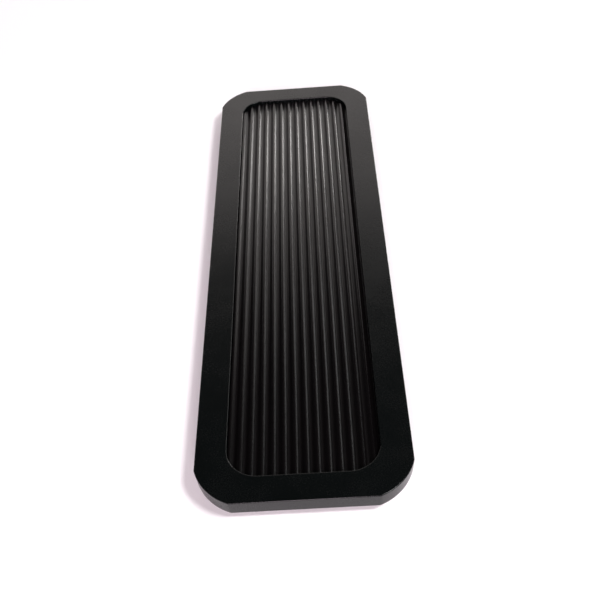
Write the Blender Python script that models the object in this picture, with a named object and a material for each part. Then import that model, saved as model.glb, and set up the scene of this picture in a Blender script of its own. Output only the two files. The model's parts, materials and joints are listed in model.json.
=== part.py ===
"""Flat full-foot sustain pedal.

A ribbed rubber tread lies in the pocket of a thin black footplate.  The footplate is hinged to a steel
base plate at its far end (+Y) and stands on two springs at its near end (-Y).  Pressing it down bends
the blade of a leaf switch.  Metres, +Z up, origin on the ground under the middle of the footplate.
"""
from math import asin, cos, pi, sin, tau

import bpy
from mathutils import Matrix, Vector

MM = 0.001
GAP = 0.3 * MM                      # clearance kept between neighbouring pieces

# Footplate outline
WIDTH = 88 * MM
LENGTH = 294 * MM
CORNER_END = 14.7 * MM              # how much of the end each cut corner takes
CORNER_SIDE = 16.0 * MM             # how much of the side it takes
CORNER_BULGE = 0.118                # arc height over chord of the cut corner
ROUND_BULGE = 0.2071                # the same for a quarter circle
CORNER_STEPS = 8

# Heights above the ground
TOP = 11.5 * MM
SKIRT_FOOT = 4.0 * MM
PAN_TOP = 7.2 * MM                  # floor of the tread pocket
PAN_FOOT = 5.8 * MM
CEILING = 9.8 * MM                  # underside of the rim
BASE_FOOT = 1.5 * MM
BASE_TOP = 2.5 * MM
SEAT = BASE_TOP + GAP               # where pieces screwed to the base start

# Footplate section
WALL = 2.0 * MM
DRAFT = 0.4 * MM                    # the skirt narrows this much towards its foot
EDGE = 0.4 * MM
PAN_WALL = 1.6 * MM

# Tread pad
RIB_PITCH = 4.53 * MM
RIB_SHIFT = 1.1 * MM                # the middle rib lies this far right of the pad's middle
RIB_TOP = TOP - 1.3 * MM
GROOVE_FLOOR = TOP - 2.6 * MM
PAD_X = 30.9 * MM                   # half width
POCKET_X = PAD_X + GAP
POCKET_Y = LENGTH / 2 - 12.2 * MM
POCKET_CORNER = 13 * MM

# Hinge
PIVOT_Y = 139.5 * MM
PIVOT_Z = 6.2 * MM
PIN_RADIUS = 1.5 * MM
KNUCKLE_X = (14.0 * MM, 20.0 * MM)
KNUCKLE_RADIUS = 2.4 * MM
EAR_THICK = 1.2 * MM
EAR_GAP = 0.4 * MM
HINGE_SCREW_X = 17.0 * MM
HINGE_SCREW_Y = 132.4 * MM

# Base
BASE_X = 40.0 * MM
BASE_Y = 142.5 * MM
FOOT_RADIUS = 7.0 * MM
FOOT_X = 29.0 * MM
FOOT_Y = (-120 * MM, 0.0, 120 * MM)

# Near end: springs, stops and keeper
NEAR_Y = -139.8 * MM
SPRING_X = 28.0 * MM
SPRING_Y = -138.6 * MM
SPRING_RADIUS = 2.6 * MM
SPRING_WIRE = 0.3 * MM
SPRING_TURNS = 3.5
BUMP_X = 36.6 * MM
BUMP_Y = -108 * MM
BUMP_TOP = 7.1 * MM
KEEPER_TOP = 5.6 * MM
KEEPER_THICK = 0.8 * MM
KEEPER_SCREW_X = 9.0 * MM
CATCH_SCREW_X = 11.0 * MM

# Leaf switch, in the side channel between pan and skirt
SWITCH_X = 36.8 * MM
SWITCH_HALF = 2.4 * MM
BLADE_THICK = 0.2 * MM
STACK_Y = (8 * MM, 24 * MM)
BLADE_END = 68 * MM
CONTACT_Y = 66 * MM
PEG_Y = 60 * MM
CLAMP_SCREW_Y = (11.5 * MM, 20.5 * MM)

# Cord entry
GLAND_Z = 5.8 * MM
CORD_RADIUS = 1.6 * MM
CORD_CLAMP_Y = 127 * MM
CORD_SCREW_X = 5.6 * MM

SIDES = (("left", -1), ("right", 1))


# ---------------------------------------------------------------- materials

MATERIALS = {
    "black_enamel": ((0.014, 0.013, 0.014), 0.36, 0.0),
    "tread_rubber": ((0.020, 0.016, 0.018), 0.50, 0.0),
    "zinc_sheet": ((0.50, 0.50, 0.52), 0.42, 1.0),
    "bracket_steel": ((0.42, 0.42, 0.44), 0.38, 1.0),
    "pin_steel": ((0.60, 0.60, 0.62), 0.22, 1.0),
    "screw_steel": ((0.45, 0.44, 0.42), 0.34, 1.0),
    "spring_steel": ((0.38, 0.38, 0.40), 0.30, 1.0),
    "foot_rubber": ((0.030, 0.030, 0.032), 0.75, 0.0),
    "nylon": ((0.72, 0.70, 0.64), 0.45, 0.0),
    "phenolic": ((0.20, 0.085, 0.035), 0.50, 0.0),
    "blade_bronze": ((0.70, 0.45, 0.22), 0.30, 1.0),
    "contact_silver": ((0.80, 0.80, 0.78), 0.25, 1.0),
}


def material(name):
    """Return the named material, made on first use."""
    found = bpy.data.materials.get(name)
    if found:
        return found
    colour, roughness, metallic = MATERIALS[name]
    made = bpy.data.materials.new(name)
    made.use_nodes = True
    shader = made.node_tree.nodes["Principled BSDF"]
    shader.inputs["Base Color"].default_value = (*colour, 1.0)
    shader.inputs["Roughness"].default_value = roughness
    shader.inputs["Metallic"].default_value = metallic
    made.diffuse_color = (*colour, 1.0)
    return made


# ---------------------------------------------------------------- outlines

def arc(start, end, bulge, steps):
    """Points from start to end along an arc that bows to the right of the way, both ends kept."""
    start, end = Vector(start), Vector(end)
    chord = end - start
    half = chord.length / 2
    rise = bulge * chord.length
    radius = (half * half + rise * rise) / (2 * rise)
    outward = Vector((chord.y, -chord.x)).normalized()
    centre = (start + end) / 2 - outward * (radius - rise)
    reach = asin(half / radius)
    along = chord.normalized()
    points = []
    for step in range(steps + 1):
        angle = reach * (2 * step / steps - 1)
        points.append(centre + along * (radius * sin(angle)) + outward * (radius * cos(angle)))
    return points


def plate_outline(half_x, half_y, cut_end, cut_side, bulge, steps=CORNER_STEPS):
    """Counter-clockwise rectangle whose four corners are cut by bowed arcs."""
    near_right = arc((half_x - cut_end, -half_y), (half_x, -half_y + cut_side), bulge, steps)
    far_right = arc((half_x, half_y - cut_side), (half_x - cut_end, half_y), bulge, steps)
    far_left = [Vector((-p.x, p.y)) for p in reversed(far_right)]
    near_left = [Vector((-p.x, p.y)) for p in reversed(near_right)]
    return near_right + far_right + far_left + near_left


def body_outline(inset):
    """The footplate's outline moved in by inset."""
    shrink = 0.59 * inset
    return plate_outline(WIDTH / 2 - inset, LENGTH / 2 - inset,
                         CORNER_END - shrink, CORNER_SIDE - shrink, CORNER_BULGE)


def pocket_outline(grow):
    """The tread pocket's outline moved out by grow."""
    corner = POCKET_CORNER + grow
    return plate_outline(POCKET_X + grow, POCKET_Y + grow, corner, corner, ROUND_BULGE)


def circle(radius, steps, centre=(0.0, 0.0)):
    """Counter-clockwise circle."""
    return [Vector((centre[0] + radius * cos(tau * k / steps), centre[1] + radius * sin(tau * k / steps)))
            for k in range(steps)]


def rectangle(x_low, x_high, y_low, y_high):
    """Counter-clockwise rectangle."""
    return [Vector((x_low, y_low)), Vector((x_high, y_low)), Vector((x_high, y_high)), Vector((x_low, y_high))]


# ---------------------------------------------------------------- solids

def new_mesh(points, faces):
    """Mesh from points and faces."""
    mesh = bpy.data.meshes.new("solid")
    mesh.from_pydata([tuple(p) for p in points], [], faces)
    mesh.update()
    return mesh


def loft(loops):
    """Closed solid through equal-length loops of 3-D points, capped at both ends."""
    count = len(loops[0])
    points = [p for loop in loops for p in loop]
    faces = [list(reversed(range(count)))]
    for ring in range(len(loops) - 1):
        low, high = ring * count, (ring + 1) * count
        for k in range(count):
            nxt = (k + 1) % count
            faces.append([low + k, low + nxt, high + nxt, high + k])
    faces.append([(len(loops) - 1) * count + k for k in range(count)])
    return new_mesh(points, faces)


def prism(outline, low, high):
    """Outline in X and Y raised from low to high."""
    return loft([[Vector((p.x, p.y, z)) for p in outline] for z in (low, high)])


def prism_along_x(outline, low, high):
    """Outline in Y and Z drawn along X from low to high."""
    return loft([[Vector((x, p.x, p.y)) for p in outline] for x in (low, high)])


def prism_along_y(outline, low, high):
    """Outline in X and Z drawn along Y from low to high."""
    return loft([[Vector((p.x, y, p.y)) for p in reversed(outline)] for y in (low, high)])


def turned(profile, steps=24):
    """Closed solid of revolution about Z; profile is (radius, height) from bottom axis to top axis."""
    inner = profile[1:-1]
    points = [Vector((0, 0, profile[0][1])), Vector((0, 0, profile[-1][1]))]
    for radius, height in inner:
        points += [Vector((p.x, p.y, height)) for p in circle(radius, steps)]
    faces = []
    last = 2 + (len(inner) - 1) * steps
    for k in range(steps):
        nxt = (k + 1) % steps
        faces.append([0, 2 + nxt, 2 + k])
        faces.append([1, last + k, last + nxt])
        for ring in range(len(inner) - 1):
            low = 2 + ring * steps
            faces.append([low + k, low + nxt, low + steps + nxt, low + steps + k])
    return new_mesh(points, faces)


def tube_ring(profile, steps=24):
    """Closed ring about Z; profile is a loop of (radius, height), counter-clockwise with radius to the right."""
    count = len(profile)
    points = []
    for k in range(steps):
        angle = tau * k / steps
        points += [Vector((radius * cos(angle), radius * sin(angle), height)) for radius, height in profile]
    faces = []
    for k in range(steps):
        here, there = k * count, ((k + 1) % steps) * count
        for j in range(count):
            nxt = (j + 1) % count
            faces.append([here + j, there + j, there + nxt, here + nxt])
    return new_mesh(points, faces)


def moved(mesh, offset, turn=None):
    """The mesh turned about the origin and then shifted."""
    if turn:
        mesh.transform(turn)
    mesh.transform(Matrix.Translation(offset))
    return mesh


TO_X = Matrix.Rotation(pi / 2, 4, 'Y')      # turns +Z to +X
TO_Y = Matrix.Rotation(-pi / 2, 4, 'X')     # turns +Z to +Y
FLIP = Matrix.Rotation(pi, 4, 'X')          # turns +Z to -Z


def combined(body, tool, operation):
    """The mesh of body with tool joined to it (UNION) or cut from it (DIFFERENCE)."""
    host = bpy.data.objects.new("host", body)
    guest = bpy.data.objects.new("guest", tool)
    for item in (host, guest):
        bpy.context.scene.collection.objects.link(item)
    modifier = host.modifiers.new("solid", 'BOOLEAN')
    modifier.solver = 'EXACT'
    modifier.operation = operation
    modifier.object = guest
    depsgraph = bpy.context.evaluated_depsgraph_get()
    result = bpy.data.meshes.new_from_object(host.evaluated_get(depsgraph))
    bpy.data.objects.remove(host)
    bpy.data.objects.remove(guest)
    return result


def joined(body, *tools):
    """Union of the meshes."""
    for tool in tools:
        body = combined(body, tool, 'UNION')
    return body


def cut(body, *tools):
    """Body with each tool cut from it."""
    for tool in tools:
        body = combined(body, tool, 'DIFFERENCE')
    return body


def cylinder(radius, low, high, centre=(0.0, 0.0), steps=20):
    """Upright cylinder."""
    return prism(circle(radius, steps, centre), low, high)


def screw(radius, head_radius, head_height, length):
    """Pan-head screw with a straight driver slot; the head's seat is at z = 0 and the shank goes down."""
    body = turned([(0, -length), (radius * 0.7, -length), (radius, -length + radius * 0.5), (radius, 0),
                   (head_radius, 0), (head_radius, head_height * 0.5),
                   (head_radius * 0.75, head_height * 0.95), (0, head_height)], 20)
    slot = prism(rectangle(-head_radius * 1.2, head_radius * 1.2, -0.2 * MM, 0.2 * MM),
                 head_height * 0.5, head_height * 1.5)
    return cut(body, slot)


def place(name, mesh, slot, parent=None, sharp=0.6):
    """Put a mesh in the scene as the named piece, parented with its place kept."""
    mesh.name = name
    piece = bpy.data.objects.new(name, mesh)
    bpy.context.scene.collection.objects.link(piece)
    mesh.materials.clear()
    mesh.materials.append(material(slot))
    mesh.shade_smooth()
    mesh.set_sharp_from_angle(angle=sharp)
    if parent:
        mesh.transform(Matrix.Translation(-parent.location))
        piece.parent = parent
    return piece


def axis_empty(name, location):
    """Empty on a joint's axis, for the pieces that turn about it."""
    empty = bpy.data.objects.new(name, None)
    empty.location = location
    bpy.context.scene.collection.objects.link(empty)
    return empty


# ---------------------------------------------------------------- footplate and what rides on it

def level(outline, height):
    """Outline lifted to a height."""
    return [Vector((p.x, p.y, height)) for p in outline]


def footplate_shell():
    """Skirt, rim and pan as one skin: up the inside, round the skirt's foot, over the rim, into the pocket."""
    return loft([
        level(pocket_outline(PAN_WALL), PAN_FOOT),
        level(pocket_outline(PAN_WALL), CEILING),
        level(body_outline(WALL), CEILING),
        level(body_outline(WALL), SKIRT_FOOT),
        level(body_outline(DRAFT), SKIRT_FOOT),
        level(body_outline(0), TOP - EDGE),
        level(body_outline(EDGE), TOP),
        level(pocket_outline(EDGE), TOP),
        level(pocket_outline(0), TOP - EDGE),
        level(pocket_outline(0), PAN_TOP),
    ])


def knuckle(side):
    """Hinge knuckle that hangs from the rim's underside round the pivot pin."""
    low, high = sorted((side * KNUCKLE_X[0], side * KNUCKLE_X[1]))
    lower_half = [Vector((PIVOT_Y - KNUCKLE_RADIUS * cos(pi * k / 10), PIVOT_Z - KNUCKLE_RADIUS * sin(pi * k / 10)))
                  for k in range(11)]
    top = CEILING + GAP
    outline = lower_half + [Vector((PIVOT_Y + KNUCKLE_RADIUS, top)), Vector((PIVOT_Y - KNUCKLE_RADIUS, top))]
    return prism_along_x(outline, low, high)


def pin_bore(x_low, x_high, radius):
    """Cylinder on the hinge axis, for cutting a bore."""
    return prism_along_x(circle(radius, 24, (PIVOT_Y, PIVOT_Z)), x_low, x_high)


def footplate(parent):
    """The housing, with knuckles, spring bosses, screw holes and the notch that the cord leaves by."""
    body = footplate_shell()
    for _, side in SIDES:
        boss = cylinder(1.6 * MM, CEILING - 1.2 * MM, CEILING + GAP, (side * SPRING_X, SPRING_Y))
        body = joined(body, knuckle(side), boss)
    body = cut(body, pin_bore(-25 * MM, 25 * MM, PIN_RADIUS + GAP / 2))
    for _, side in SIDES:
        body = cut(body, cylinder(1.1 * MM, CEILING - MM, CEILING + 1.1 * MM, (side * CATCH_SCREW_X, NEAR_Y)))
    body = cut(body, cylinder(1.1 * MM, CEILING - MM, CEILING + 1.1 * MM, (SWITCH_X, PEG_Y)))
    notch = prism(rectangle(-4.2 * MM, 4.2 * MM, LENGTH / 2 - 3 * MM, LENGTH / 2 + MM), SKIRT_FOOT - MM, 9.3 * MM)
    place("footplate", cut(body, notch), "black_enamel", parent)


def rib_height(x):
    """Height of the tread at x: evenly rounded ribs and grooves."""
    wave = 0.5 + 0.5 * cos(tau * (x - RIB_SHIFT) / RIB_PITCH)
    return GROOVE_FLOOR + (RIB_TOP - GROOVE_FLOOR) * wave


def pad_columns(count, per_margin):
    """X of the pad's columns: even over the middle, closing up towards each edge for its round corners."""
    even = PAD_X - 1.5 * MM
    margin = [even + (PAD_X - even) * sin(pi / 2 * k / per_margin) for k in range(1, per_margin + 1)]
    inner = [even * (2 * k / count - 1) for k in range(count + 1)]
    return [-x for x in reversed(margin)] + inner + margin


def tread_pad(parent):
    """Rubber pad whose ribs run its whole length and are clipped by the pocket's round corners."""
    half_y = POCKET_Y - GAP
    corner = POCKET_CORNER - GAP
    places = pad_columns(130, 5)
    columns = len(places) - 1
    points = []
    for x in places:
        into = max(0.0, abs(x) - (PAD_X - corner))
        end = half_y - corner + max(0.0, corner * corner - into * into) ** 0.5
        for height in (PAN_TOP + GAP, rib_height(x)):
            points += [Vector((x, -end, height)), Vector((x, end, height))]
    faces = [[0, 1, 3, 2]]
    for column in range(columns):
        here, there = 4 * column, 4 * column + 4
        faces.append([here, there, there + 1, here + 1])
        faces.append([here + 2, here + 3, there + 3, there + 2])
        faces.append([here, here + 2, there + 2, there])
        faces.append([here + 1, there + 1, there + 3, here + 3])
    last = 4 * columns
    faces.append([last, last + 2, last + 3, last + 1])
    pad = new_mesh(points, [list(reversed(face)) for face in faces])
    place("tread_pad", pad, "tread_rubber", parent, sharp=0.9)


def catch_plate(parent):
    """Hook under the near rim; its toe reaches below the keeper bridge and stops the upward swing."""
    top = CEILING - GAP
    back = NEAR_Y - 2.5 * MM
    flange = prism(rectangle(-13.5 * MM, 13.5 * MM, back, NEAR_Y + 2.6 * MM), top - 0.8 * MM, top)
    leg = prism(rectangle(-4 * MM, 4 * MM, back, back + 0.8 * MM), 3.7 * MM, top - 0.4 * MM)
    toe = prism(rectangle(-4 * MM, 4 * MM, back, NEAR_Y + 1.4 * MM), 3.7 * MM, 4.5 * MM)
    body = joined(flange, leg, toe)
    for _, side in SIDES:
        body = cut(body, cylinder(1.2 * MM, top - 2 * MM, top + MM, (side * CATCH_SCREW_X, NEAR_Y)))
    place("catch_plate", body, "bracket_steel", parent)
    for name, side in SIDES:
        fixing = moved(screw(0.8 * MM, 1.7 * MM, 0.6 * MM, 2.0 * MM),
                       (side * CATCH_SCREW_X, NEAR_Y, top - 0.8 * MM - GAP), FLIP)
        place(f"catch_screw_{name}", fixing, "screw_steel", parent)


def actuator_peg(parent):
    """Nylon peg in the rim's underside, just over the upper blade."""
    top = CEILING - GAP
    foot = blade_level() + BLADE_THICK + GAP
    peg = turned([(0, foot), (0.7 * MM, foot), (1.5 * MM, foot + 0.6 * MM), (1.5 * MM, top - 0.8 * MM),
                  (2.1 * MM, top - 0.8 * MM), (2.1 * MM, top), (0.8 * MM, top), (0.8 * MM, top + 1.0 * MM),
                  (0, top + 1.0 * MM)])
    place("actuator_peg", moved(peg, (SWITCH_X, PEG_Y, 0)), "nylon", parent)


# ---------------------------------------------------------------- base and hinge

def base_screws():
    """X and Y of every screw that goes down into the base plate."""
    spots = [(SWITCH_X, y) for y in CLAMP_SCREW_Y]
    for _, side in SIDES:
        spots += [(side * KEEPER_SCREW_X, NEAR_Y), (side * HINGE_SCREW_X, HINGE_SCREW_Y),
                  (side * CORD_SCREW_X, CORD_CLAMP_Y)]
    return spots


def base_plate():
    """Steel sheet with an upright far tab for the cord gland, a notch for the catch and screw holes."""
    inset = WIDTH / 2 - BASE_X
    sheet = prism(plate_outline(BASE_X, BASE_Y, CORNER_END - 0.59 * inset, CORNER_SIDE - 0.59 * inset,
                                CORNER_BULGE), BASE_FOOT, BASE_TOP)
    tab = prism(rectangle(-6 * MM, 6 * MM, BASE_Y - MM, BASE_Y), BASE_FOOT, 9.2 * MM)
    gland_hole = moved(cylinder(2.6 * MM, -2 * MM, 2 * MM, steps=24), (0, BASE_Y - 0.5 * MM, GLAND_Z), TO_Y)
    notch = prism(rectangle(-5 * MM, 5 * MM, -BASE_Y - MM, NEAR_Y + 2.2 * MM), 0, 2 * BASE_TOP)
    body = cut(joined(sheet, tab), gland_hole, notch)
    for spot in base_screws():
        body = cut(body, cylinder(1.1 * MM, 0, 2 * BASE_TOP, spot, 16))
    place("base_plate", body, "zinc_sheet")


def rubber_feet():
    """Six discs with a rounded lower edge under the base plate."""
    rows = ("near", "middle", "far")
    top = BASE_FOOT - GAP
    for row, y in zip(rows, FOOT_Y):
        for name, side in SIDES:
            disc = turned([(0, 0), (FOOT_RADIUS - 0.5 * MM, 0), (FOOT_RADIUS, 0.4 * MM), (FOOT_RADIUS, top),
                           (0, top)], 32)
            place(f"rubber_foot_{row}_{name}", moved(disc, (side * FOOT_X, y, 0)), "foot_rubber")


def ear(x_low, x_high, floor):
    """Upright hinge ear with a round top about the pivot pin."""
    radius = 2.6 * MM
    dome = [Vector((PIVOT_Y + radius * cos(pi * k / 10), PIVOT_Z + radius * sin(pi * k / 10))) for k in range(11)]
    outline = [Vector((PIVOT_Y - radius, floor)), Vector((PIVOT_Y + radius, floor))] + dome
    return prism_along_x(outline, x_low, x_high)


def hinge(name, side):
    """One two-eared bracket with its screw, headed pin and clip."""
    inner = (KNUCKLE_X[0] - EAR_GAP - EAR_THICK, KNUCKLE_X[0] - EAR_GAP)
    outer = (KNUCKLE_X[1] + EAR_GAP, KNUCKLE_X[1] + EAR_GAP + EAR_THICK)
    floor_top = SEAT + 0.6 * MM
    x_low, x_high = sorted((side * inner[0], side * outer[1]))
    body = prism(rectangle(x_low, x_high, HINGE_SCREW_Y - 2.8 * MM, PIVOT_Y + 2.6 * MM), SEAT, floor_top)
    for span in (inner, outer):
        low, high = sorted((side * span[0], side * span[1]))
        body = joined(body, ear(low, high, SEAT + 0.1 * MM))
    body = cut(body, pin_bore(-25 * MM, 25 * MM, PIN_RADIUS + GAP / 2))
    body = cut(body, cylinder(1.3 * MM, 0, 5 * MM, (side * HINGE_SCREW_X, HINGE_SCREW_Y)))
    place(f"hinge_bracket_{name}", body, "bracket_steel")
    fixing = moved(screw(0.8 * MM, 1.8 * MM, 0.7 * MM, 1.8 * MM),
                   (side * HINGE_SCREW_X, HINGE_SCREW_Y, floor_top + GAP))
    place(f"hinge_screw_{name}", fixing, "screw_steel")
    head = inner[0] - GAP - 0.8 * MM
    clip = outer[1] + GAP
    pin = turned([(0, head), (2.2 * MM, head), (2.2 * MM, head + 0.8 * MM), (PIN_RADIUS, head + 0.8 * MM),
                  (PIN_RADIUS, clip), (PIN_RADIUS - 0.4 * MM, clip), (PIN_RADIUS - 0.4 * MM, clip + 1.1 * MM),
                  (PIN_RADIUS, clip + 1.1 * MM), (PIN_RADIUS, clip + 1.5 * MM),
                  (PIN_RADIUS - 0.3 * MM, clip + 1.8 * MM), (0, clip + 1.8 * MM)])
    turn = TO_X if side > 0 else Matrix.Rotation(-pi / 2, 4, 'Y')
    place(f"pivot_pin_{name}", moved(pin, (0, PIVOT_Y, PIVOT_Z), turn), "pin_steel")
    groove = PIN_RADIUS - 0.4 * MM
    ring = tube_ring([(groove + 0.15 * MM, clip + 0.25 * MM), (2.5 * MM, clip + 0.25 * MM),
                      (2.5 * MM, clip + 0.85 * MM), (groove + 0.15 * MM, clip + 0.85 * MM)])
    gap_in_ring = prism(rectangle(-0.9 * MM, 0.9 * MM, -4 * MM, 0), clip - MM, clip + 2 * MM)
    place(f"pin_clip_{name}", moved(cut(ring, gap_in_ring), (0, PIVOT_Y, PIVOT_Z), turn), "spring_steel")


def cord_entry():
    """Rubber gland in the base's far tab, and the saddle that clamps the cord behind it."""
    half = 0.5 * MM
    profile = [(CORD_RADIUS, -2.4 * MM), (3.0 * MM, -2.4 * MM), (3.0 * MM, -half - GAP), (2.3 * MM, -half - GAP),
               (2.3 * MM, half + GAP), (3.0 * MM, half + GAP), (3.0 * MM, 2.6 * MM), (2.5 * MM, 4.2 * MM),
               (CORD_RADIUS, 4.2 * MM)]
    gland = moved(tube_ring(profile), (0, BASE_Y - half, GLAND_Z), TO_Y)
    place("cord_gland", gland, "foot_rubber")
    thick = 0.6 * MM
    foot_top = SEAT + thick
    reach = CORD_SCREW_X + 2.0 * MM
    inner = [Vector((1.8 * MM * cos(pi * k / 12), SEAT + 1.6 * MM * sin(pi * k / 12))) for k in range(13)]
    outer = [Vector((2.4 * MM * cos(pi * k / 12), SEAT + 2.2 * MM * sin(pi * k / 12))) for k in range(2, 11)]
    outline = ([Vector((reach, SEAT)), Vector((reach, foot_top))] + outer
               + [Vector((-reach, foot_top)), Vector((-reach, SEAT))] + list(reversed(inner)))
    saddle = prism_along_y(outline, CORD_CLAMP_Y - 2.5 * MM, CORD_CLAMP_Y + 2.5 * MM)
    for _, side in SIDES:
        saddle = cut(saddle, cylinder(1.1 * MM, 0, 6 * MM, (side * CORD_SCREW_X, CORD_CLAMP_Y)))
    place("cord_clamp", saddle, "bracket_steel")
    for name, side in SIDES:
        fixing = moved(screw(0.8 * MM, 1.6 * MM, 0.6 * MM, 1.8 * MM),
                       (side * CORD_SCREW_X, CORD_CLAMP_Y, foot_top + GAP))
        place(f"cord_clamp_screw_{name}", fixing, "screw_steel")


# ---------------------------------------------------------------- near end: springs and stops

def helix_tube(radius, wire, turns, low, high, per_turn=18, sides=8):
    """Closed round wire wound up from low to high; both ends are capped."""
    rise = (high - low - 2 * wire) / (turns * tau)
    loops = []
    for step in range(int(turns * per_turn) + 1):
        angle = tau * step / per_turn
        outward = Vector((cos(angle), sin(angle), 0))
        along = Vector((-radius * sin(angle), radius * cos(angle), rise)).normalized()
        upward = along.cross(outward)
        centre = outward * radius + Vector((0, 0, low + wire + rise * angle))
        loops.append([centre + (outward * cos(tau * k / sides) + upward * sin(tau * k / sides)) * wire
                      for k in range(sides)])
    return loft(loops)


def near_springs():
    """Compression springs in nylon cups, pressing up on the near rim."""
    floor_top = SEAT + 0.5 * MM
    for name, side in SIDES:
        spot = (side * SPRING_X, SPRING_Y, 0)
        cup = turned([(0, SEAT), (3.6 * MM, SEAT), (3.6 * MM, floor_top + 1.0 * MM),
                      (3.2 * MM, floor_top + 1.0 * MM), (3.1 * MM, floor_top), (0, floor_top)])
        place(f"spring_cup_{name}", moved(cup, spot), "nylon")
        spring = helix_tube(SPRING_RADIUS, SPRING_WIRE, SPRING_TURNS, floor_top + GAP, CEILING - GAP)
        place(f"return_spring_{name}", moved(spring, spot), "spring_steel", sharp=1.2)


def bump_stops():
    """Rubber cones that end the downward travel."""
    for name, side in SIDES:
        bump = turned([(0, SEAT), (2.6 * MM, SEAT), (2.6 * MM, SEAT + 1.2 * MM), (1.9 * MM, BUMP_TOP - 0.6 * MM),
                       (1.3 * MM, BUMP_TOP), (0, BUMP_TOP)])
        place(f"bump_stop_{name}", moved(bump, (side * BUMP_X, BUMP_Y, 0)), "foot_rubber")


def keeper():
    """Bridge on the base that the catch plate's toe comes up against."""
    rise_x = 6.4 * MM
    step = KEEPER_THICK
    foot_x = KEEPER_SCREW_X + 2.2 * MM
    right = [Vector((rise_x - step, SEAT)), Vector((foot_x, SEAT)), Vector((foot_x, SEAT + step)),
             Vector((rise_x, SEAT + step)), Vector((rise_x, KEEPER_TOP))]
    left = [Vector((-p.x, p.y)) for p in reversed(right)]
    under = [Vector((-rise_x + step, KEEPER_TOP - step)), Vector((rise_x - step, KEEPER_TOP - step))]
    bridge = prism_along_y(right + left + under, NEAR_Y - 1.2 * MM, NEAR_Y + 1.8 * MM)
    for _, side in SIDES:
        bridge = cut(bridge, cylinder(1.1 * MM, 0, 5 * MM, (side * KEEPER_SCREW_X, NEAR_Y + GAP), 16))
    place("keeper_bracket", bridge, "bracket_steel")
    for name, side in SIDES:
        fixing = moved(screw(0.8 * MM, 1.6 * MM, 0.6 * MM, 1.8 * MM),
                       (side * KEEPER_SCREW_X, NEAR_Y + GAP, SEAT + step + GAP))
        place(f"keeper_screw_{name}", fixing, "screw_steel")


# ---------------------------------------------------------------- leaf switch

def stack_levels():
    """Foot heights of the clamped stack, bottom to top, one gap apart."""
    levels = {}
    height = SEAT
    for name, thick in (("switch_block", 0.8 * MM), ("lower_blade", BLADE_THICK), ("blade_spacer", 1.6 * MM),
                        ("upper_blade", BLADE_THICK), ("clamp_strip", 0.4 * MM), ("screw_head", 0.6 * MM)):
        levels[name] = height
        height += thick + GAP
    return levels


def blade_level():
    """Foot height of the upper blade."""
    return stack_levels()["upper_blade"]


def stack_slab(y_low, y_high, low, high, half=SWITCH_HALF):
    """Slab of the switch stack with its two screw holes."""
    body = prism(rectangle(SWITCH_X - half, SWITCH_X + half, y_low, y_high), low, high)
    for y in CLAMP_SCREW_Y:
        body = cut(body, cylinder(1.2 * MM, low - MM, high + MM, (SWITCH_X, y), 16))
    return body


def contact_button(low, high):
    """Flat round contact near the blades' free ends."""
    return cylinder(1.2 * MM, low, high, (SWITCH_X, CONTACT_Y), 20)


def leaf_switch(upper_parent):
    """Two bronze blades clamped with insulation between them; the upper one bends under the peg."""
    levels = stack_levels()
    y_low, y_high = STACK_Y
    block_top = levels["switch_block"] + 0.8 * MM
    spacer_top = levels["blade_spacer"] + 1.6 * MM
    place("switch_block", stack_slab(y_low, y_high, SEAT, block_top), "phenolic")
    place("blade_spacer", stack_slab(y_low, y_high, levels["blade_spacer"], spacer_top), "phenolic")
    clamp = levels["clamp_strip"]
    place("clamp_strip", stack_slab(y_low, y_high, clamp, clamp + 0.4 * MM), "bracket_steel")
    tail = y_low - 5 * MM
    for name, parent in (("lower_blade", None), ("upper_blade", upper_parent)):
        low = levels[name]
        blade = stack_slab(tail, BLADE_END, low, low + BLADE_THICK, 2.0 * MM)
        place(name, blade, "blade_bronze", parent)
    lower_top = levels["lower_blade"] + BLADE_THICK + GAP
    place("lower_contact", contact_button(lower_top, lower_top + 0.3 * MM), "contact_silver")
    upper_foot = levels["upper_blade"] - GAP - 0.3 * MM
    place("upper_contact", contact_button(upper_foot, upper_foot + 0.3 * MM), "contact_silver", upper_parent)
    for name, y in zip(("near", "far"), CLAMP_SCREW_Y):
        length = levels["screw_head"] - BASE_FOOT
        fixing = moved(screw(0.8 * MM, 1.6 * MM, 0.6 * MM, length), (SWITCH_X, y, levels["screw_head"]))
        place(f"clamp_screw_{name}", fixing, "screw_steel")


def main():
    """Build the pedal."""
    for item in list(bpy.data.objects):
        bpy.data.objects.remove(item)
    pivot = axis_empty("pivot_axis", (0, PIVOT_Y, PIVOT_Z))
    blade_root = axis_empty("blade_axis", (SWITCH_X, sum(STACK_Y) / 2, blade_level() + BLADE_THICK / 2))
    footplate(pivot)
    tread_pad(pivot)
    catch_plate(pivot)
    actuator_peg(pivot)
    base_plate()
    rubber_feet()
    for name, side in SIDES:
        hinge(name, side)
    cord_entry()
    near_springs()
    bump_stops()
    keeper()
    leaf_switch(blade_root)


main()
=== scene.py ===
"""Looks of the full-foot sustain pedal: fine pieces over the CAD frame, materials, light and camera."""
import json
from math import asin, cos, pi, radians, sin, tau

import bpy
from mathutils import Matrix, Vector


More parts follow.
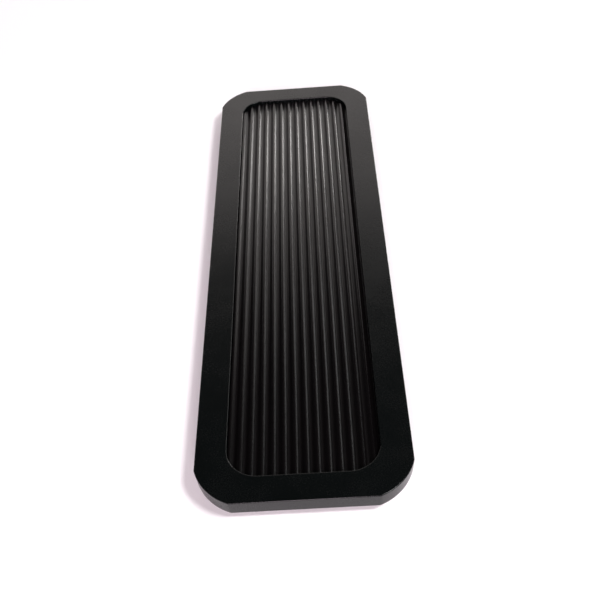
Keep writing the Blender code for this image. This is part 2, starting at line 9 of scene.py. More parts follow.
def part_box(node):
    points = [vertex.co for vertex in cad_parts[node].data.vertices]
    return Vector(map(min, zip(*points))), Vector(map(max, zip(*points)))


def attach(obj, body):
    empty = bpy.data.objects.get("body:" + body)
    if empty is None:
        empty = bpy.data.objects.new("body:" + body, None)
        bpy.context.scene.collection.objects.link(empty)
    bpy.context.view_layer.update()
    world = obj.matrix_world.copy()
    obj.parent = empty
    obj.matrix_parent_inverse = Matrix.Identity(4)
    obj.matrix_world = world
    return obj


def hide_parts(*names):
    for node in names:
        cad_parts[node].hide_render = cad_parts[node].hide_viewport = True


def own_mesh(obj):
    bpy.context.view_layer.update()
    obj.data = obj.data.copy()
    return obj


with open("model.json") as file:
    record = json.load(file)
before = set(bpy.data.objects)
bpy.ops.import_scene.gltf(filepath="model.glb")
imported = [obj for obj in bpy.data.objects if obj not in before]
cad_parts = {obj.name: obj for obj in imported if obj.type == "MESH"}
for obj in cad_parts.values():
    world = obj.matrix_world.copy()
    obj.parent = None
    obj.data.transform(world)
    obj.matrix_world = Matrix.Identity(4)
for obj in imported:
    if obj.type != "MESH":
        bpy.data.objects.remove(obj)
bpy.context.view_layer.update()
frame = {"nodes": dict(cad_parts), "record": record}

MM = 0.001
SIDES = {"left": -1, "right": 1}
ROUND_STEPS = 64                    # sides of a turned piece
CYLINDER_STEPS = 40
EDGE_STEPS = 5                      # facets of a rounded edge

# Footplate, read from the CAD where it can be and repeated from its design where it can't
PLATE_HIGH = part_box("footplate")[1]
PAD_LOW, PAD_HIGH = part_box("tread_pad")
PIN_LOW, PIN_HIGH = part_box("pivot_pin_right")
PIN_Y = (PIN_LOW.y + PIN_HIGH.y) / 2
PIN_Z = (PIN_LOW.z + PIN_HIGH.z) / 2
HALF_X = PLATE_HIGH.x
HALF_Y = PLATE_HIGH.y
TOP = PLATE_HIGH.z
CORNER_END = 14.7 * MM
CORNER_SIDE = 16.0 * MM
CORNER_BULGE = 0.118                # arc height over chord of a cut corner
ROUND_BULGE = 0.2071                # the same for a quarter circle
CUT_SHRINK = 0.59                   # how much shorter a corner's cut gets per unit of inset
CORNER_STEPS = 28
SKIRT_FOOT = 4.0 * MM
PAN_TOP = 7.2 * MM
PAN_FOOT = 5.8 * MM
CEILING = 9.8 * MM
WALL = 2.0 * MM
DRAFT = 0.4 * MM                    # how far the skirt's foot is set in from its top
LEAN_FOOT = 0.95                    # share of the draft just above the skirt's foot
LEAN_TOP = 0.05                     # share of it just below the rim
PAN_WALL = 1.6 * MM
GAP = 0.3 * MM
POCKET_X = PAD_HIGH.x + GAP
POCKET_Y = PAD_HIGH.y + GAP
POCKET_CORNER = 13 * MM
KNUCKLE_X = (14.0 * MM, 20.0 * MM)
KNUCKLE_RADIUS = 2.4 * MM
KNUCKLE_STEPS = 32
BORE_RADIUS = 1.65 * MM             # hole for the pivot pins, cut through both knuckles at once
BORE_REACH = 25 * MM
BORE_STEPS = 48
BOSS_RADIUS = 1.6 * MM              # pegs that hold the springs' upper ends
BOSS_DEPTH = 1.2 * MM
HOLE_RADIUS = 1.1 * MM              # holes for the catch screws and the actuator peg
HOLE_DEPTH = 1.1 * MM
NOTCH_HALF = 4.2 * MM               # notch in the far skirt for the cord gland
NOTCH_DEPTH = 3 * MM
NOTCH_TOP = 9.3 * MM

# Tread
RIB_PITCH = 4.53 * MM
RIB_SHIFT = 1.1 * MM                # the middle rib lies this far right of the pad's middle
RIB_TOP = PAD_HIGH.z
RIB_END = 0.45 * MM                 # rounding of the ribs' ends
GROOVE_FLOOR = TOP - 2.6 * MM
PAD_COLUMNS = 364
MARGIN = 1.5 * MM                   # strip along each side where the columns close up
MARGIN_COLUMNS = 12

# Rubber feet; the face is radius and height in mm, from the middle out
FOOT_FACE = ((0, 0.25), (1.6, 0.25), (1.9, 0), (3.1, 0), (3.3, 0.22), (3.9, 0.22), (4.1, 0))
FOOT_RIM = 0.4 * MM
FOOT_STRIP = 0.1 * MM               # narrow strip beside the rounded rim keeps the face flat
FOOT_TOP_RIM = 0.15 * MM

# Springs, cord gland and the broken edges of CAD nodes
WIRE_RADIUS = 0.3 * MM
WIRE_SIDES = 12
COIL_RADIUS = 2.6 * MM
COIL_TURNS = 5.0
COIL_STEPS = 40                     # loops of the wire per turn
CLOSED_TURNS = 0.8                  # turns that touch, at each end
GLAND_BORE = 1.6 * MM
GLAND_NECK = 2.3 * MM
GLAND_LIP = 0.3 * MM
GLAND_HOLD = 0.8 * MM               # half the width of the neck between the flanges
TAB_HALF = 0.5 * MM                 # half the thickness of the tab that holds the gland
EDGE_WIDTH = 0.12 * MM              # broken edge of a CAD node
EDGE_SHARE = 0.2                    # the most it may be of the node's thinnest side
EDGE_ANGLE = radians(38)

# Floor and backdrop
FLOOR_HALF = 1.2
FLOOR_Z = -0.02 * MM
FLOOR_COLOUR = (0.94, 0.94, 0.94)
BACKDROP_COLOUR = (0.86, 0.96, 1.0)
BACKDROP_STRENGTH = 1.15            # added where the camera sees the world itself
WORLD_STRENGTH = 0.025

# Camera, from the plate's outline
CAMERA_LENS = 51.54                 # for a 36 mm wide sensor
CAMERA_PITCH = radians(45.215)
CAMERA_YAW = radians(2.761)
CAMERA_ROLL = radians(5.430)
CAMERA_DISTANCE = 405.3 * MM
CAMERA_TARGET = Vector((0.36 * MM, -39.07 * MM, TOP))


# ---------------------------------------------------------------- material tools

class Recipe:
    """A Principled material and short ways to feed its sockets with procedural detail."""

    def __init__(self, name, colour, roughness, metallic=0.0):
        self.material = bpy.data.materials.new(name)
        self.material.use_nodes = True
        tree = self.material.node_tree
        self.nodes, self.links = tree.nodes, tree.links
        self.shader = self.nodes["Principled BSDF"]
        self.shader.inputs["Base Color"].default_value = (*colour, 1)
        self.shader.inputs["Roughness"].default_value = roughness
        self.shader.inputs["Metallic"].default_value = metallic
        self.place = self.nodes.new("ShaderNodeTexCoord").outputs["Object"]
        self.normal = None

    def stretched(self, scale):
        """Object coordinates scaled per axis, for grain that runs one way."""
        mapping = self.nodes.new("ShaderNodeMapping")
        mapping.inputs["Scale"].default_value = scale
        self.links.new(self.place, mapping.inputs["Vector"])
        return mapping.outputs["Vector"]

    def noise(self, scale, detail=3.0, rough=0.55, place=None):
        """Noise value with the given number of cells per metre."""
        node = self.nodes.new("ShaderNodeTexNoise")
        node.inputs["Scale"].default_value = scale
        node.inputs["Detail"].default_value = detail
        node.inputs["Roughness"].default_value = rough
        self.links.new(place or self.place, node.inputs["Vector"])
        return node.outputs["Fac"]

    def cells(self, scale):
        """Distance to the nearest of scattered points, for a spangle."""
        node = self.nodes.new("ShaderNodeTexVoronoi")
        node.inputs["Scale"].default_value = scale
        self.links.new(self.place, node.inputs["Vector"])
        return node.outputs["Distance"]

    def remap(self, value, low, high, to_low, to_high):
        """Value moved from one range to another and clamped."""
        node = self.nodes.new("ShaderNodeMapRange")
        node.inputs["From Min"].default_value = low
        node.inputs["From Max"].default_value = high
        node.inputs["To Min"].default_value = to_low
        node.inputs["To Max"].default_value = to_high
        self.links.new(value, node.inputs["Value"])
        return node.outputs["Result"]

    def math(self, operation, first, second):
        """Two values combined."""
        node = self.nodes.new("ShaderNodeMath")
        node.operation = operation
        self.links.new(first, node.inputs[0])
        self.links.new(second, node.inputs[1])
        return node.outputs["Value"]

    def height(self):
        """Height above the ground, in metres."""
        node = self.nodes.new("ShaderNodeSeparateXYZ")
        self.links.new(self.place, node.inputs["Vector"])
        return node.outputs["Z"]

    def colour(self, value, first, second):
        """Base colour between two colours by value."""
        node = self.nodes.new("ShaderNodeMix")
        node.data_type = 'RGBA'
        node.inputs["A"].default_value = (*first, 1)
        node.inputs["B"].default_value = (*second, 1)
        self.links.new(value, node.inputs["Factor"])
        self.links.new(node.outputs["Result"], self.shader.inputs["Base Color"])

    def roughness(self, value):
        """Roughness from a value."""
        self.links.new(value, self.shader.inputs["Roughness"])

    def bump(self, value, depth):
        """Adds relief of the given depth in metres."""
        node = self.nodes.new("ShaderNodeBump")
        node.inputs["Strength"].default_value = 1.0
        node.inputs["Distance"].default_value = depth
        self.links.new(value, node.inputs["Height"])
        if self.normal:
            self.links.new(self.normal, node.inputs["Normal"])
        self.normal = node.outputs["Normal"]
        self.links.new(self.normal, self.shader.inputs["Normal"])


def black_enamel():
    """Satin black stove enamel: faint orange peel, fine dust and a few rubbed patches."""
    recipe = Recipe("black_enamel", (0.003, 0.003, 0.003), 0.27)
    recipe.shader.inputs["IOR"].default_value = 1.38
    dust = recipe.noise(1400, 4, 0.7)
    rubbed = recipe.noise(38, 3, 0.6)
    recipe.colour(recipe.remap(dust, 0.55, 0.85, 0, 1),
                  (0.0011, 0.0018, 0.0018), (0.0046, 0.0053, 0.0050))
    fine = recipe.remap(dust, 0.3, 0.8, -0.03, 0.05)
    recipe.roughness(recipe.math('ADD', recipe.remap(rubbed, 0.35, 0.7, 0.23, 0.30), fine))
    recipe.bump(recipe.noise(420, 2, 0.5), 0.012 * MM)
    recipe.bump(recipe.noise(2600, 3, 0.6), 0.004 * MM)
    return recipe.material


def tread_rubber():
    """Moulded rubber: fine grain, patchy tone, rib tops polished by shoes."""
    recipe = Recipe("tread_rubber", (0.004, 0.003, 0.0033), 0.42)
    recipe.shader.inputs["IOR"].default_value = 1.34
    crown = recipe.remap(recipe.height(), GROOVE_FLOOR, RIB_TOP, 0, 1)
    grain = recipe.noise(3200, 4, 0.65)
    patches = recipe.noise(60, 3, 0.6, recipe.stretched((1, 0.35, 1)))
    recipe.colour(recipe.math('MULTIPLY', recipe.remap(grain, 0.45, 0.75, 0.2, 1.0),
                              recipe.remap(patches, 0.3, 0.7, 0.4, 1.0)),
                  (0.0010, 0.0008, 0.0009), (0.0034, 0.0025, 0.0028))
    recipe.roughness(recipe.math('ADD', recipe.remap(crown, 0.5, 1.0, 0.30, 0.24),
                                 recipe.remap(grain, 0.3, 0.8, -0.03, 0.05)))
    recipe.bump(grain, 0.010 * MM)
    recipe.bump(recipe.noise(500, 2, 0.5, recipe.stretched((1, 0.12, 1))), 0.02 * MM)
    return recipe.material


def metal(name, colour, roughness, grain_scale, stretch, depth):
    """Worked metal with grain along one axis and stained patches."""
    recipe = Recipe(name, colour, roughness, 1.0)
    grain = recipe.noise(grain_scale, 4, 0.6, recipe.stretched(stretch))
    stains = recipe.noise(120, 3, 0.6)
    dull = tuple(0.72 * c for c in colour)
    recipe.colour(recipe.remap(stains, 0.35, 0.75, 0, 1), colour, dull)
    recipe.roughness(recipe.math('ADD',
                                 recipe.remap(grain, 0.3, 0.7, roughness - 0.08, roughness + 0.08),
                                 recipe.remap(stains, 0.4, 0.8, 0, 0.1)))
    recipe.bump(grain, depth)
    return recipe.material


def zinc_sheet():
    """Zinc-plated steel sheet with a faint spangle and rolling lines."""
    recipe = Recipe("zinc_sheet", (0.50, 0.51, 0.53), 0.4, 1.0)
    spangle = recipe.cells(170)
    lines = recipe.noise(900, 3, 0.6, recipe.stretched((1, 0.04, 1)))
    recipe.colour(recipe.remap(spangle, 0.1, 0.8, 0, 1), (0.56, 0.57, 0.60), (0.42, 0.43, 0.45))
    recipe.roughness(recipe.math('ADD', recipe.remap(spangle, 0.0, 0.8, 0.30, 0.46),
                                 recipe.remap(lines, 0.3, 0.7, -0.04, 0.06)))
    recipe.bump(lines, 0.006 * MM)
    return recipe.material


def soft_rubber(name, colour):
    """Matt rubber with fine grain and pale dust."""
    recipe = Recipe(name, colour, 0.72)
    grain = recipe.noise(2600, 4, 0.65)
    dusty = tuple(2.2 * c + 0.012 for c in colour)
    recipe.colour(recipe.remap(recipe.noise(260, 4, 0.7), 0.5, 0.8, 0, 0.7), colour, dusty)
    recipe.roughness(recipe.remap(grain, 0.3, 0.75, 0.62, 0.82))
    recipe.bump(grain, 0.012 * MM)
    return recipe.material


def nylon():
    """Natural nylon: slightly translucent, with flow marks."""
    recipe = Recipe("nylon", (0.74, 0.71, 0.63), 0.42)
    recipe.shader.inputs["Subsurface Weight"].default_value = 0.2
    recipe.shader.inputs["Subsurface Radius"].default_value = (1.0 * MM, 0.8 * MM, 0.6 * MM)
    flow = recipe.noise(320, 3, 0.6, recipe.stretched((1, 1, 0.3)))
    recipe.colour(recipe.remap(flow, 0.35, 0.7, 0, 1), (0.76, 0.73, 0.66), (0.66, 0.62, 0.53))
    recipe.roughness(recipe.remap(flow, 0.3, 0.7, 0.36, 0.50))
    recipe.bump(recipe.noise(1800, 2), 0.004 * MM)
    return recipe.material


def phenolic():
    """Brown paper phenolic board: long fibres and a dull surface."""
    recipe = Recipe("phenolic", (0.21, 0.09, 0.035), 0.48)
    fibres = recipe.noise(1500, 5, 0.65, recipe.stretched((1, 0.12, 1)))
    recipe.colour(recipe.remap(fibres, 0.35, 0.7, 0, 1), (0.24, 0.105, 0.042), (0.14, 0.055, 0.022))
    recipe.roughness(recipe.remap(fibres, 0.3, 0.7, 0.42, 0.58))
    recipe.bump(fibres, 0.006 * MM)
    return recipe.material


def all_materials():
    """Every material by the name of its slot in the record."""
    return {
        "black_enamel": black_enamel(),
        "tread_rubber": tread_rubber(),
        "zinc_sheet": zinc_sheet(),
        "bracket_steel": metal("bracket_steel", (0.46, 0.46, 0.48), 0.36, 1600, (1, 0.08, 1), 0.004 * MM),
        "pin_steel": metal("pin_steel", (0.62, 0.62, 0.64), 0.22, 3000, (1, 1, 0.1), 0.002 * MM),
        "screw_steel": metal("screw_steel", (0.52, 0.50, 0.46), 0.32, 2600, (1, 1, 0.3), 0.003 * MM),
        "spring_steel": metal("spring_steel", (0.40, 0.40, 0.42), 0.28, 3200, (0.2, 0.2, 1), 0.002 * MM),
        "foot_rubber": soft_rubber("foot_rubber", (0.022, 0.022, 0.024)),
        "nylon": nylon(),
        "phenolic": phenolic(),
        "blade_bronze": metal("blade_bronze", (0.72, 0.44, 0.22), 0.28, 2400, (1, 0.06, 1), 0.002 * MM),
        "contact_silver": metal("contact_silver", (0.86, 0.85, 0.82), 0.24, 3500, (1, 1, 1), 0.003 * MM),
    }


MATERIALS = all_materials()


# ---------------------------------------------------------------- outlines and solids

def centre_of(node):
    """Middle of a CAD node's box."""
    low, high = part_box(node)
    return (low + high) / 2


def arc(start, end, bulge, steps):
    """Points from start to end along an arc that bows to the right of the way, both ends kept."""
    start, end = Vector(start), Vector(end)
    chord = end - start
    half = chord.length / 2
    rise = bulge * chord.length
    radius = (half * half + rise * rise) / (2 * rise)
    outward = Vector((chord.y, -chord.x)).normalized()
    centre = (start + end) / 2 - outward * (radius - rise)
    reach = asin(half / radius)
    along = chord.normalized()
    angles = [reach * (2 * step / steps - 1) for step in range(steps + 1)]
    return [centre + along * (radius * sin(a)) + outward * (radius * cos(a)) for a in angles]


def plate_outline(half_x, half_y, cut_end, cut_side, bulge):
    """Counter-clockwise rectangle whose four corners are cut by bowed arcs."""
    near_right = arc((half_x - cut_end, -half_y), (half_x, -half_y + cut_side), bulge, CORNER_STEPS)
    far_right = arc((half_x, half_y - cut_side), (half_x - cut_end, half_y), bulge, CORNER_STEPS)
    far_left = [Vector((-p.x, p.y)) for p in reversed(far_right)]
    near_left = [Vector((-p.x, p.y)) for p in reversed(near_right)]
    return near_right + far_right + far_left + near_left


def body_loop(inset, height):
    """The footplate's outline moved in by inset, at a height."""
    shrink = CUT_SHRINK * inset
    outline = plate_outline(HALF_X - inset, HALF_Y - inset, CORNER_END - shrink, CORNER_SIDE - shrink,
                            CORNER_BULGE)
    return [Vector((p.x, p.y, height)) for p in outline]


def pocket_loop(grow, height):
    """The tread pocket's outline moved out by grow, at a height."""
    corner = POCKET_CORNER + grow
    outline = plate_outline(POCKET_X + grow, POCKET_Y + grow, corner, corner, ROUND_BULGE)
    return [Vector((p.x, p.y, height)) for p in outline]


def circle(radius, steps, centre=(0.0, 0.0)):
    """Counter-clockwise circle."""
    angles = [tau * k / steps for k in range(steps)]
    return [Vector((centre[0] + radius * cos(a), centre[1] + radius * sin(a))) for a in angles]


def new_mesh(points, faces):
    """Mesh from points and faces."""
    mesh = bpy.data.meshes.new("solid")
    mesh.from_pydata([tuple(p) for p in points], [], faces)
    mesh.update()
    return mesh


def loft(loops):
    """Closed solid through equal-length loops of points, capped at both ends."""
    count = len(loops[0])
    points = [p for loop in loops for p in loop]
    faces = [list(reversed(range(count)))]
    for ring in range(len(loops) - 1):
        low, high = ring * count, (ring + 1) * count
        for k in range(count):
            nxt = (k + 1) % count
            faces.append([low + k, low + nxt, high + nxt, high + k])
    faces.append([(len(loops) - 1) * count + k for k in range(count)])
    return new_mesh(points, faces)


def prism_along_x(outline, low, high):
    """Outline in Y and Z drawn along X from low to high."""
    return loft([[Vector((x, p.x, p.y)) for p in outline] for x in (low, high)])


def cylinder(radius, low, high, centre):
    """Upright cylinder."""
    outline = circle(radius, CYLINDER_STEPS, centre)
    return loft([[Vector((p.x, p.y, z)) for p in outline] for z in (low, high)])


def block(low, high):
    """Box between two corners."""
    corners = ((low[0], low[1]), (high[0], low[1]), (high[0], high[1]), (low[0], high[1]))
    return loft([[Vector((x, y, z)) for x, y in corners] for z in (low[2], high[2])])


def turned(profile):
    """Solid of revolution about Z; profile is (radius, height) from the bottom of the axis to its top."""
    steps = ROUND_STEPS
    rings = profile[1:-1]
    points = [Vector((0, 0, profile[0][1])), Vector((0, 0, profile[-1][1]))]
    for radius, height in rings:
        points += [Vector((p.x, p.y, height)) for p in circle(radius, steps)]
    last = 2 + (len(rings) - 1) * steps
    faces = []
    for k in range(steps):
        nxt = (k + 1) % steps
        faces.append([0, 2 + nxt, 2 + k])
        faces.append([1, last + k, last + nxt])
        for ring in range(len(rings) - 1):
            low = 2 + ring * steps
            faces.append([low + k, low + nxt, low + steps + nxt, low + steps + k])
    return new_mesh(points, faces)


def tube_ring(profile):
    """Closed ring about Z; profile is a counter-clockwise loop of (radius, height)."""
    steps = ROUND_STEPS
    count = len(profile)
    points = [Vector((radius * cos(tau * k / steps), radius * sin(tau * k / steps), height))
              for k in range(steps) for radius, height in profile]
    faces = []
    for k in range(steps):
        here, there = k * count, ((k + 1) % steps) * count
        for j in range(count):
            nxt = (j + 1) % count
            faces.append([here + j, there + j, there + nxt, here + nxt])
    return new_mesh(points, faces)


def moved(mesh, offset, turn=None):
    """The mesh turned about the origin and then shifted."""
    if turn:
        mesh.transform(turn)
    mesh.transform(Matrix.Translation(offset))
    return mesh


def combined(body, tool, operation):
    """The mesh of body with tool joined to it (UNION) or cut from it (DIFFERENCE)."""
    host = bpy.data.objects.new("host", body)
    guest = bpy.data.objects.new("guest", tool)
    for item in (host, guest):
        bpy.context.scene.collection.objects.link(item)
    modifier = host.modifiers.new("solid", 'BOOLEAN')
    modifier.solver = 'EXACT'
    modifier.operation = operation
    modifier.object = guest
    depsgraph = bpy.context.evaluated_depsgraph_get()
    result = bpy.data.meshes.new_from_object(host.evaluated_get(depsgraph))
    bpy.data.objects.remove(host)
    bpy.data.objects.remove(guest)
    return result


def piece(name, mesh, slot, body, *nodes, sharp):
    """Put a mesh in the scene in place of CAD nodes, riding on a body.

    Its shading is smooth, but edges that turn by more than sharp, in radians, stay crisp.
    """
    mesh.name = name
    made = bpy.data.objects.new(name, mesh)
    bpy.context.scene.collection.objects.link(made)
    mesh.materials.clear()
    mesh.materials.append(MATERIALS[slot])
    mesh.shade_smooth()
    mesh.set_sharp_from_angle(angle=sharp)
    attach(made, body)
    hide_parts(*nodes)
    return made


def rounded(radius):
    """Steps round a quarter-circle edge: (distance in from the side, distance down from the top)."""
    angles = [pi / 2 * k / EDGE_STEPS for k in range(EDGE_STEPS + 1)]
    return [(radius * (1 - cos(a)), radius * (1 - sin(a))) for a in angles]


# ---------------------------------------------------------------- footplate

def shell():
    """Skirt, rim and pan as one skin, every visible edge rounded."""
    rim_edge = 0.35 * MM
    pocket_edge = 0.4 * MM
    foot_edge = 0.3 * MM
    strip = 0.35 * MM               # narrow strips beside the rounded edges keep the flats flat
    loops = [pocket_loop(PAN_WALL - strip, PAN_FOOT), pocket_loop(PAN_WALL, PAN_FOOT + strip),
             pocket_loop(PAN_WALL, CEILING - strip), pocket_loop(PAN_WALL + strip, CEILING),
             body_loop(WALL + strip, CEILING), body_loop(WALL, CEILING - strip),
             body_loop(WALL, SKIRT_FOOT + foot_edge), body_loop(WALL - foot_edge, SKIRT_FOOT)]
    loops += [body_loop(DRAFT + across, SKIRT_FOOT + down) for across, down in reversed(rounded(foot_edge))]
    loops += [body_loop(DRAFT * LEAN_FOOT, SKIRT_FOOT + foot_edge + strip),
              body_loop(DRAFT * LEAN_TOP, TOP - rim_edge - strip)]
    loops += [body_loop(across, TOP - down) for across, down in rounded(rim_edge)]
    loops += [body_loop(rim_edge + strip, TOP), pocket_loop(pocket_edge + strip, TOP)]
    loops += [pocket_loop(across, TOP - down) for across, down in reversed(rounded(pocket_edge))]
    loops += [pocket_loop(0, TOP - pocket_edge - strip), pocket_loop(0, PAN_TOP)]
    return loft(loops)


def knuckle(side):
    """Hinge knuckle that hangs from the rim's underside round the pivot pin."""
    low, high = sorted(side * x for x in KNUCKLE_X)
    angles = [pi * k / KNUCKLE_STEPS for k in range(KNUCKLE_STEPS + 1)]
    outline = [Vector((PIN_Y - KNUCKLE_RADIUS * cos(a), PIN_Z - KNUCKLE_RADIUS * sin(a))) for a in angles]
    outline += [Vector((PIN_Y + across, CEILING + GAP)) for across in (KNUCKLE_RADIUS, -KNUCKLE_RADIUS)]
    return prism_along_x(outline, low, high)


def footplate():
    """The black housing, with its knuckles, spring bosses, screw holes and cord notch."""
    body = shell()
    for name, side in SIDES.items():
        spot = centre_of(f"spring_cup_{name}")
        boss = cylinder(BOSS_RADIUS, CEILING - BOSS_DEPTH, CEILING + GAP, (spot.x, spot.y))
        body = combined(body, knuckle(side), 'UNION')
        body = combined(body, boss, 'UNION')
    bore = prism_along_x(circle(BORE_RADIUS, BORE_STEPS, (PIN_Y, PIN_Z)), -BORE_REACH, BORE_REACH)
    notch = block((-NOTCH_HALF, HALF_Y - NOTCH_DEPTH, SKIRT_FOOT - MM),
                  (NOTCH_HALF, HALF_Y + MM, NOTCH_TOP))
    body = combined(body, bore, 'DIFFERENCE')
    body = combined(body, notch, 'DIFFERENCE')
    for node in ("catch_screw_left", "catch_screw_right", "actuator_peg"):
        spot = centre_of(node)
        hole = cylinder(HOLE_RADIUS, CEILING - MM, CEILING + HOLE_DEPTH, (spot.x, spot.y))
        body = combined(body, hole, 'DIFFERENCE')
    piece("footplate_fine", body, "black_enamel", "pedal", "footplate", sharp=0.7)


# ---------------------------------------------------------------- tread

def rib_height(x):
    """Height of the tread at x: evenly rounded ribs and grooves."""
    wave = 0.5 + 0.5 * cos(tau * (x - RIB_SHIFT) / RIB_PITCH)
    return GROOVE_FLOOR + (RIB_TOP - GROOVE_FLOOR) * wave


def pad_columns():
    """X of the pad's columns: even over the middle, closing up towards each edge for its round corners."""
    even = PAD_HIGH.x - MARGIN
    angles = [pi / 2 * k / MARGIN_COLUMNS for k in range(1, MARGIN_COLUMNS + 1)]
    margin = [even + (PAD_HIGH.x - even) * sin(a) for a in angles]
    inner = [even * (2 * k / PAD_COLUMNS - 1) for k in range(PAD_COLUMNS + 1)]
    return [-x for x in reversed(margin)] + inner + margin


def tread():
    """Ribbed rubber pad: its ribs run the whole length and round over at their ends."""
    half_y = PAD_HIGH.y
    corner = POCKET_CORNER - GAP
    ends = rounded(RIB_END)
    places = pad_columns()
    columns = len(places) - 1
    points = []
    for x in places:
        into = max(0.0, abs(x) - (PAD_HIGH.x - corner))
        reach = half_y - corner + max(0.0, corner * corner - into * into) ** 0.5
        crown = rib_height(x)
        line = [(-reach, PAD_LOW.z)]
        line += [(-reach + across, crown - down) for across, down in ends]
        line += [(reach - across, crown - down) for across, down in reversed(ends)]
        line += [(reach, PAD_LOW.z)]
        points += [Vector((x, y, z)) for y, z in line]
    count = 2 * len(ends) + 2
    faces = []
    for column in range(columns):
        here, there = column * count, (column + 1) * count
        for j in range(count):
            nxt = (j + 1) % count
            faces.append([here + j, there + j, there + nxt, here + nxt])
    faces.append(list(range(count)))
    faces.append([columns * count + j for j in reversed(range(count))])
    piece("tread_ribbed", new_mesh(points, faces), "tread_rubber", "pedal", "tread_pad", sharp=1.0)


# ---------------------------------------------------------------- small pieces

def rubber_feet():
    """Discs with a rounded rim and two moulded rings on the face that stands on the floor."""
    for row in ("near", "middle", "far"):
        for name in SIDES:
            node = f"rubber_foot_{row}_{name}"
            low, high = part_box(node)
            radius = (high.x - low.x) / 2
            profile = [(across * MM, up * MM) for across, up in FOOT_FACE]
            profile += [(radius - FOOT_RIM - FOOT_STRIP, 0)]
            profile += [(radius - across, down) for across, down in reversed(rounded(FOOT_RIM))]
            profile += [(radius - across, high.z - down) for across, down in rounded(FOOT_TOP_RIM)]
            profile += [(0, high.z)]
            spot = centre_of(node)
            disc = moved(turned(profile), (spot.x, spot.y, 0))
            piece(f"{node}_moulded", disc, "foot_rubber", "base", node, sharp=0.7)


def spring(name):
    """Compression spring with closed end coils."""
    node = f"return_spring_{name}"
    low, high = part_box(node)
    spot = centre_of(f"spring_cup_{name}")
    thick = 2 * WIRE_RADIUS
    open_height = high.z - low.z - thick - 2 * CLOSED_TURNS * thick
    upward = Vector((0, 0, 1))
    section = [(cos(angle), sin(angle)) for angle in (tau * k / WIRE_SIDES for k in range(WIRE_SIDES))]
    loops = []
    for step in range(int(COIL_TURNS * COIL_STEPS) + 1):
        turn = step / COIL_STEPS
        tight = min(turn, CLOSED_TURNS) + max(0.0, turn - (COIL_TURNS - CLOSED_TURNS))
        open_part = (turn - tight) / (COIL_TURNS - 2 * CLOSED_TURNS)
        outward = Vector((cos(tau * turn), sin(tau * turn), 0))
        z = low.z + WIRE_RADIUS + tight * thick + open_height * open_part
        centre = outward * COIL_RADIUS + upward * z
        loops.append([centre + (upward * up + outward * out) * WIRE_RADIUS for up, out in section])
    coil = moved(loft(loops), (spot.x, spot.y, 0))
    made = piece(f"{node}_coil", coil, "spring_steel", "base", node, sharp=1.2)
    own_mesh(made)


def cord_gland():
    """Rubber grommet with rounded flanges round the cord's hole."""
    low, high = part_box("cord_gland")
    spot = centre_of("cord_gland")
    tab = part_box("base_plate")[1].y - TAB_HALF
    front = high.y - tab
    back = low.y - tab
    flange = (high.x - low.x) / 2
    inner_flange = [(GLAND_BORE + GLAND_LIP, back), (flange - 0.4 * MM, back), (flange, back + 0.4 * MM),
                    (flange, -GLAND_HOLD)]
    neck = [(GLAND_NECK, -GLAND_HOLD), (GLAND_NECK, GLAND_HOLD)]
    outer_flange = [(flange, GLAND_HOLD), (flange, front - 1.6 * MM),
                    (flange - 0.25 * MM, front - 0.7 * MM), (flange - 0.6 * MM, front - 0.15 * MM),
                    (flange - 0.9 * MM, front), (GLAND_BORE + GLAND_LIP, front)]
    bore = [(GLAND_BORE, front - GLAND_LIP), (GLAND_BORE, back + GLAND_LIP)]
    turn = Matrix.Rotation(-pi / 2, 4, 'X')
    ring = moved(tube_ring(inner_flange + neck + outer_flange + bore), (spot.x, tab, spot.z), turn)
    piece("cord_gland_moulded", ring, "foot_rubber", "base", "cord_gland", sharp=0.7)


def finish_cad_nodes():
    """Give every CAD node its material, and break the sharp edges of those that stay in view a little."""
    slots = {part["node"]: part["material_slot"] for part in frame["record"]["subparts"]}
    for name, node in frame["nodes"].items():
        node.data.materials.clear()
        node.data.materials.append(MATERIALS[slots[name]])
        if node.hide_render:
            continue
        low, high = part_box(name)
        edge = node.modifiers.new("edge", 'BEVEL')
        edge.width = min(EDGE_WIDTH, EDGE_SHARE * min(high - low))
        edge.segments = 2
        edge.limit_method = 'ANGLE'
        edge.angle_limit = EDGE_ANGLE


# ---------------------------------------------------------------- floor, light and camera

def floor():
    """Plain pale floor."""
    corners = ((-FLOOR_HALF, -FLOOR_HALF), (FLOOR_HALF, -FLOOR_HALF), (FLOOR_HALF, FLOOR_HALF),
               (-FLOOR_HALF, FLOOR_HALF))
    mesh = new_mesh([(x, y, FLOOR_Z) for x, y in corners], [[0, 1, 2, 3]])
    mesh.materials.append(Recipe("pale_floor", FLOOR_COLOUR, 0.6).material)
    ground = bpy.data.objects.new("floor", mesh)
    bpy.context.scene.collection.objects.link(ground)


def area_light(name, location, target, size, power, colour=(1.0, 1.0, 1.0)):
    """Rectangular light at a place, turned to a point and not seen by the camera itself."""
    data = bpy.data.lights.new(name, 'AREA')
    data.shape = 'RECTANGLE'
    data.size, data.size_y = size
    data.energy = power
    data.color = colour
    lamp = bpy.data.objects.new(name, data)
    lamp.location = location
    lamp.visible_camera = False
    lamp.rotation_euler = (Vector(target) - Vector(location)).to_track_quat('-Z', 'Y').to_euler()
    bpy.context.scene.collection.objects.link(lamp)


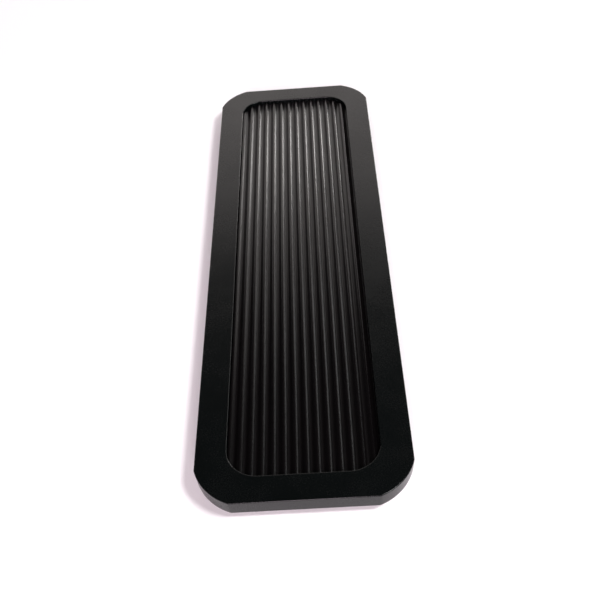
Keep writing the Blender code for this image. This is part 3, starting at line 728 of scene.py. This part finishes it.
def surround():
    """World that lights the object faintly and stands behind it as a white backdrop."""
    world = bpy.data.worlds.new("surround")
    world.use_nodes = True
    nodes, links = world.node_tree.nodes, world.node_tree.links
    rays = nodes.new("ShaderNodeLightPath")
    strength = nodes.new("ShaderNodeMath")
    strength.operation = 'MULTIPLY_ADD'
    strength.inputs[1].default_value = BACKDROP_STRENGTH
    strength.inputs[2].default_value = WORLD_STRENGTH
    links.new(rays.outputs["Is Camera Ray"], strength.inputs[0])
    links.new(strength.outputs[0], nodes["Background"].inputs["Strength"])
    nodes["Background"].inputs["Color"].default_value = (*BACKDROP_COLOUR, 1)
    return world


def studio():
    """Key from the right, soft fill from the near end, bright panels beyond the far end and far right."""
    area_light("key", (1.2, -0.56, 2.0), (0, 0, 0), (0.5, 0.5), 40)
    area_light("fill", (-0.15, -2.4, 1.45), (0, 0, 0), (1.6, 1.6), 94, (1.0, 0.85, 0.93))
    area_light("far_right_panel", (0.58, 1.06, 0.15), (0, 0, 0.02), (0.18, 0.24), 2.4, (1.0, 0.96, 0.94))
    area_light("right_panel", (0.98, 0.62, 0.16), (0, 0, 0.02), (0.5, 0.26), 1.65)
    area_light("far_wall", (0.1, 1.15, 0.58), (0, 0, 0.05), (2.2, 0.6), 6.6, (1.0, 0.93, 0.91))
    bpy.context.scene.world = surround()
    bpy.context.scene.view_settings.view_transform = 'Standard'


def camera():
    """Camera above the near end, looking down along the plate and rolled a little."""
    data = bpy.data.cameras.new("camera")
    data.lens = CAMERA_LENS
    data.sensor_width = 36.0
    data.clip_start = 0.01
    forward = Vector((-sin(CAMERA_YAW) * cos(CAMERA_PITCH), cos(CAMERA_YAW) * cos(CAMERA_PITCH),
                      -sin(CAMERA_PITCH)))
    view = bpy.data.objects.new("camera", data)
    view.location = CAMERA_TARGET - forward * CAMERA_DISTANCE
    turn = forward.to_track_quat('-Z', 'Y').to_matrix() @ Matrix.Rotation(-CAMERA_ROLL, 3, 'Z')
    view.rotation_euler = turn.to_euler()
    bpy.context.scene.collection.objects.link(view)
    bpy.context.scene.camera = view


footplate()
tread()
rubber_feet()
for spring_side in SIDES:
    spring(spring_side)
cord_gland()
finish_cad_nodes()
floor()
studio()
camera()
